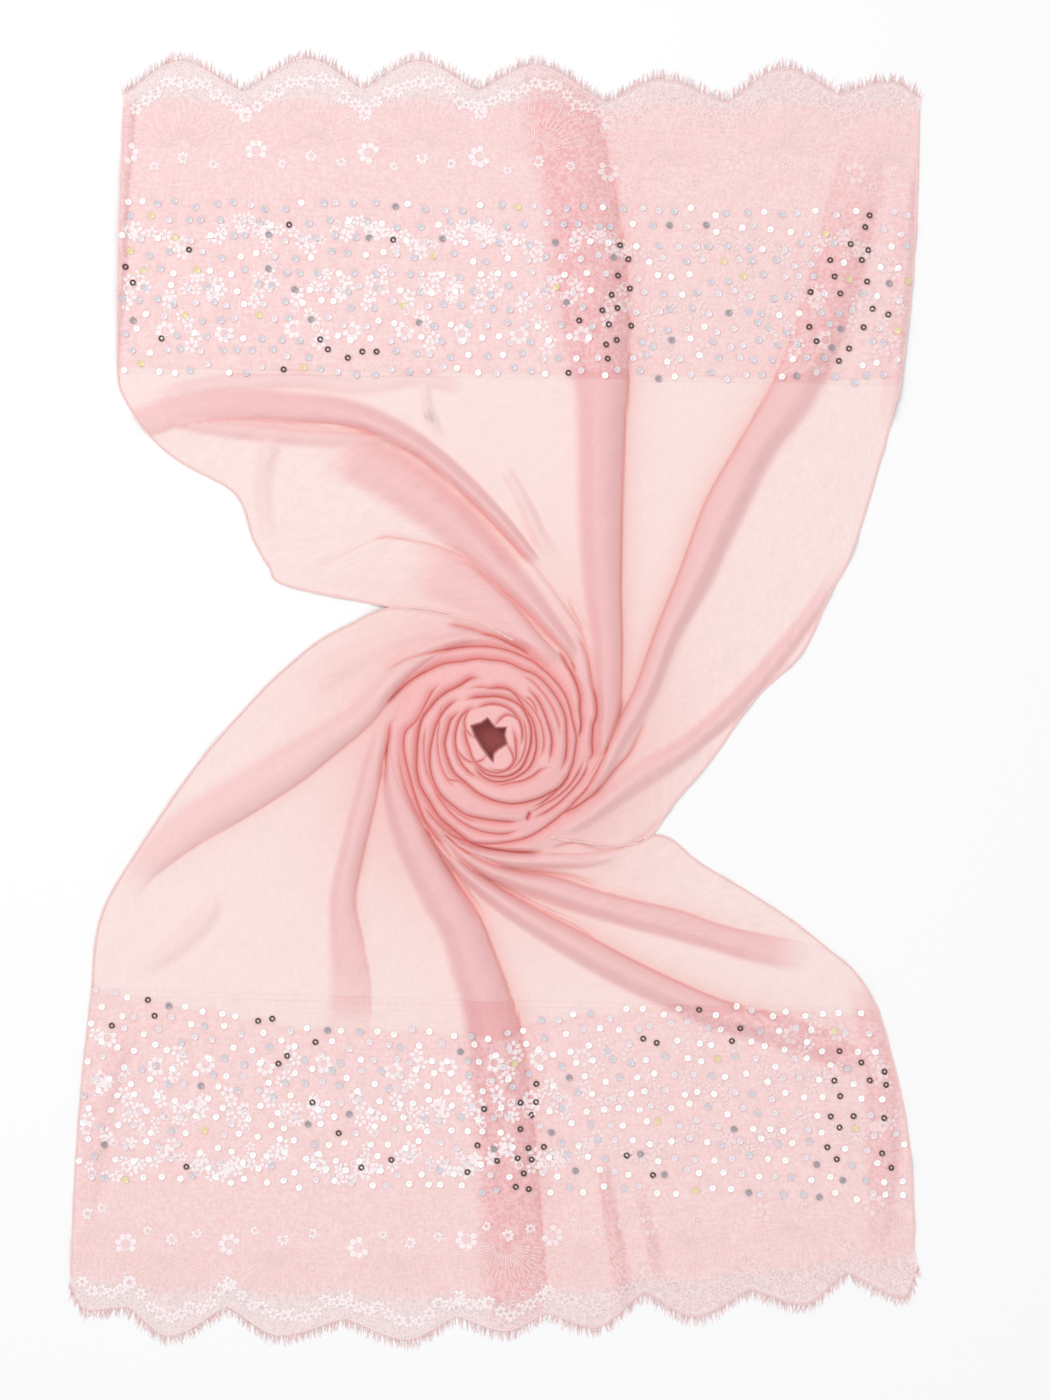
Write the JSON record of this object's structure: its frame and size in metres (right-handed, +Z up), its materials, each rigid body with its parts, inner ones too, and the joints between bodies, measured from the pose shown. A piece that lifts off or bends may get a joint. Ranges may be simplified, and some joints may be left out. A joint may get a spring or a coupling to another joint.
{
  "type": "stole",
  "caption": "Thin voile stole laid flat, its middle wound into a rosette, with lace borders and eyelash edges at both ends.",
  "frame": {"origin": "centre of the bounding box of the laid stole, on the surface that it lies on", "axes": "+Y along the length of the stole towards its upper end, +X across it to the right, +Z up from the surface"},
  "size_m": [0.7039, 1.0682, 0.031],
  "materials": {
    "wound_voile": "matte",
    "voile": "matte",
    "lace": "matte",
    "fringe": "matte",
    "sequins": "gloss"
  },
  "bodies": {
    "root": {"rosette": "wound_voile", "upper_field": "voile", "lower_field": "voile", "upper_lace": "lace", "lower_lace": "lace", "upper_fringe": "fringe", "lower_fringe": "fringe"}
  },
  "joints": []
}
